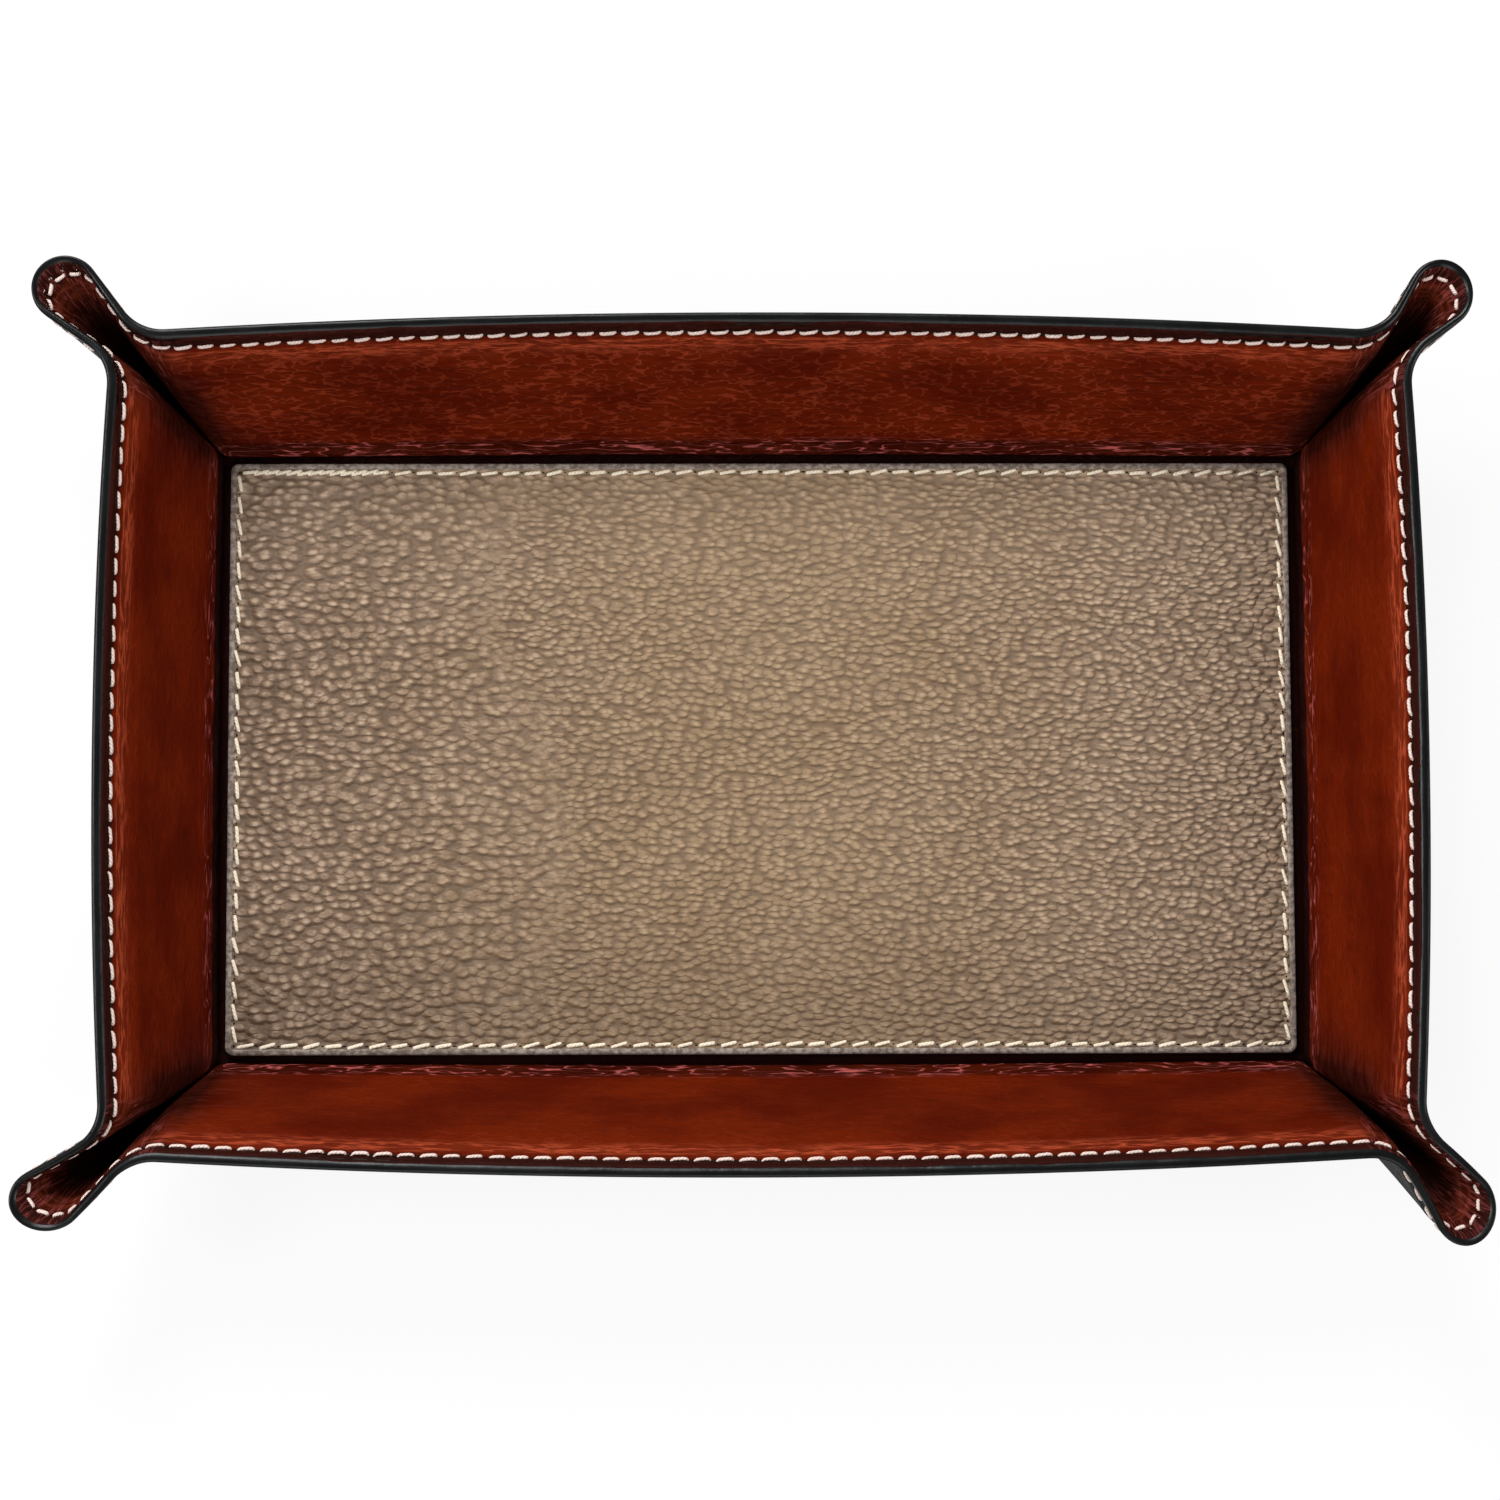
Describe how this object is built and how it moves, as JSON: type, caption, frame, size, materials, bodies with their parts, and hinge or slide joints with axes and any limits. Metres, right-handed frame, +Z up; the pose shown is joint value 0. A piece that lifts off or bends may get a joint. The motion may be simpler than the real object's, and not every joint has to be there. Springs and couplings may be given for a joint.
{
  "type": "valet tray",
  "caption": "Leather valet tray with sloping boarded walls, pinched corner ears and a loose stitched pad on its floor.",
  "frame": {"origin": "middle of the underside, on the surface that the tray stands on", "axes": "+Z up, +X along the long side, -Y towards the viewer"},
  "size_m": [0.286, 0.191, 0.037],
  "materials": {
    "shell_leather": "black grained leather",
    "lining_leather": "rust red pebbled leather",
    "edge_paint": "black satin edge paint",
    "rim_thread": "waxed cream thread",
    "tack_thread": "waxed black thread",
    "board": "grey brown pressed board",
    "pad_leather": "taupe pebbled leather",
    "pad_backing_leather": "taupe suede",
    "pad_edge_paint": "dark taupe edge paint",
    "pad_thread": "waxed cream thread"
  },
  "bodies": {
    "tray": {"outer_shell": "shell_leather", "lining": "lining_leather", "rim_edge_paint": "edge_paint", "rim_stitches": "rim_thread", "floor_board": "board", "wall_board_back": "board", "wall_board_front": "board", "wall_board_right": "board", "wall_board_left": "board", "ear_tack_back_right": "tack_thread", "ear_tack_back_left": "tack_thread", "ear_tack_front_left": "tack_thread", "ear_tack_front_right": "tack_thread"},
    "pad": {"pad_backing": "pad_backing_leather", "pad_core": "board", "pad_leather": "pad_leather", "pad_edge_paint": "pad_edge_paint", "pad_stitches": "pad_thread"}
  },
  "joints": [
    {"name": "pad_lift", "type": "slide", "parent": "tray", "child": "pad", "axis": [0, 0, 1], "range_m": [0, 0.06]}
  ]
}
